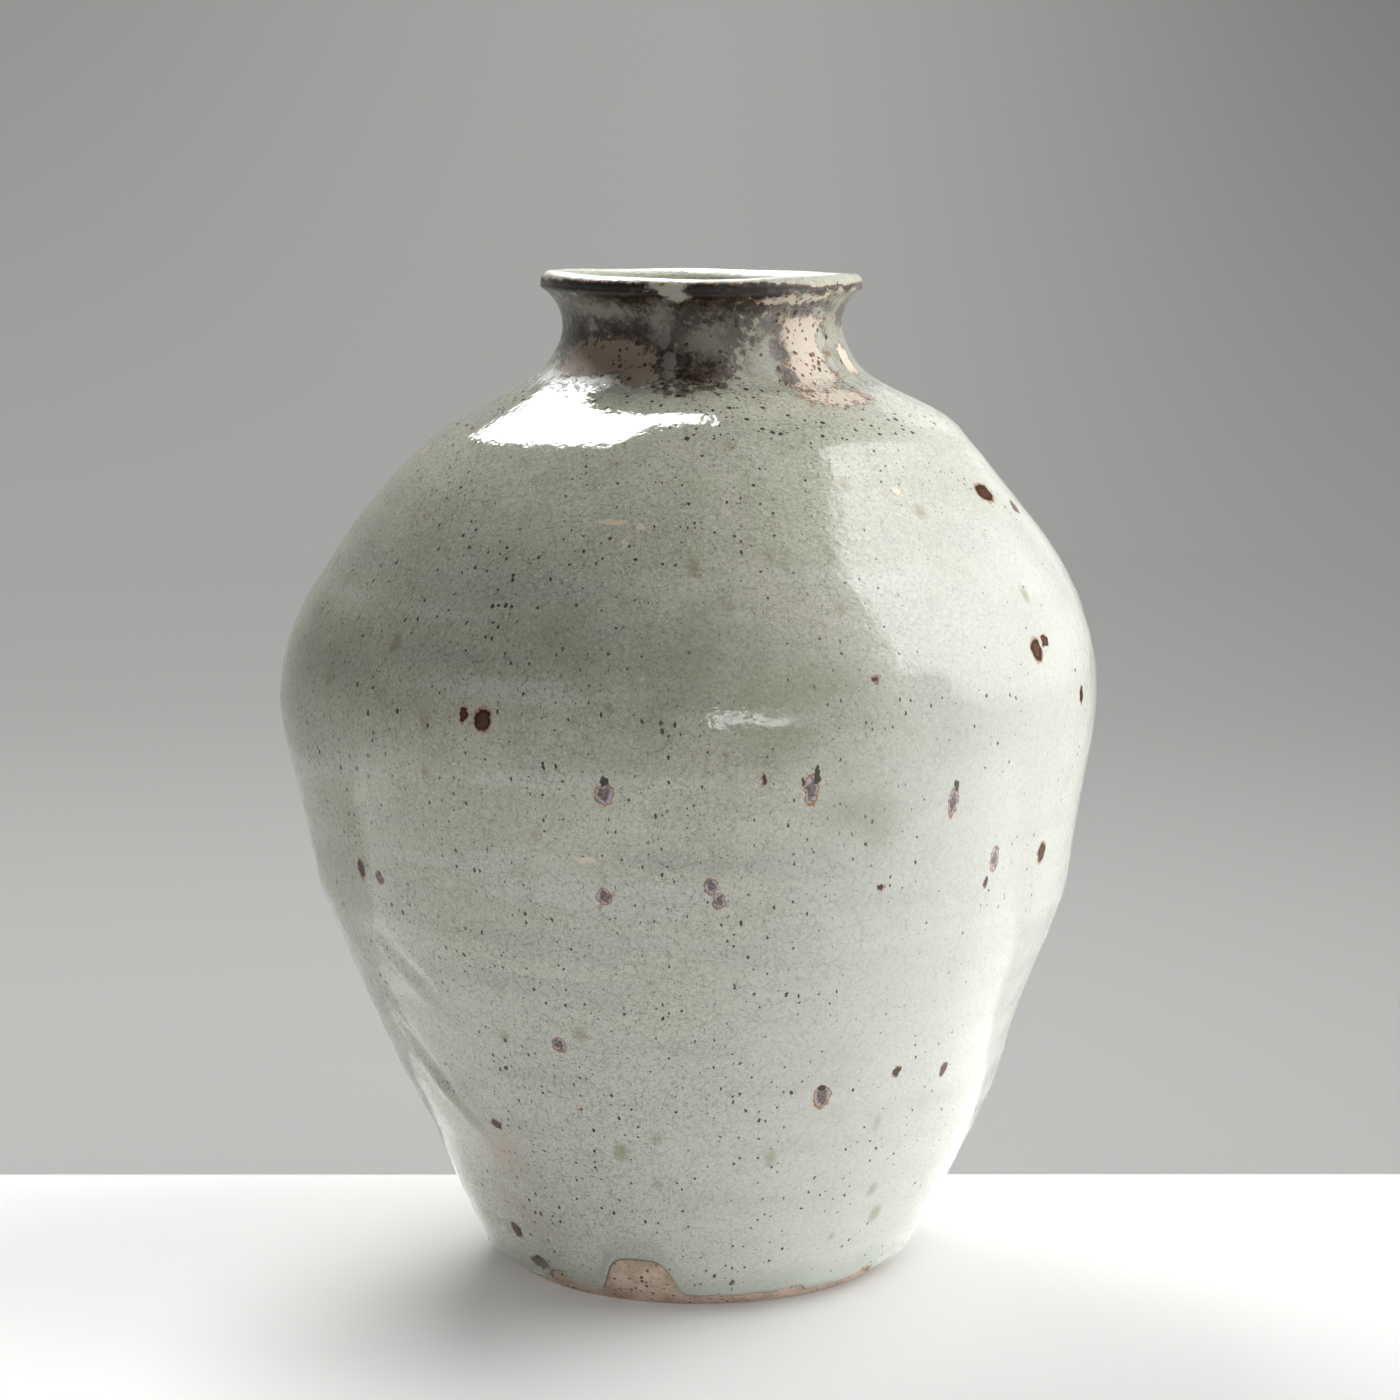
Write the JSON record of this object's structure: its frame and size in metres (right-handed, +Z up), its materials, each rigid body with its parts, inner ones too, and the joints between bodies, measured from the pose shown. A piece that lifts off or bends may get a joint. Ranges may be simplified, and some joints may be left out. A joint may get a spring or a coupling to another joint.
{
  "type": "moon jar",
  "caption": "tall shouldered stoneware jar with celadon glaze, drawn-in foot, narrow waisted neck and rounded flared lip, for storing or display",
  "frame": {"origin": "on the table, at the centre of the foot", "axes": "+Z up along the jar's axis, -Y towards the viewer of the picture, +X to the viewer's right"},
  "size_m": [0.3256, 0.3254, 0.4],
  "materials": {
    "stoneware": "matte",
    "luting_slip": "matte",
    "celadon_glaze": "gloss",
    "iron_glaze": "gloss",
    "liner_glaze": "gloss"
  },
  "bodies": {
    "root": {"lower_bowl": "stoneware", "upper_bowl": "stoneware", "neck_collar": "stoneware", "belly_slip_joint": "luting_slip", "neck_slip_joint": "luting_slip", "body_glaze": "celadon_glaze", "neck_glaze": "iron_glaze", "liner_glaze": "liner_glaze"}
  },
  "joints": []
}
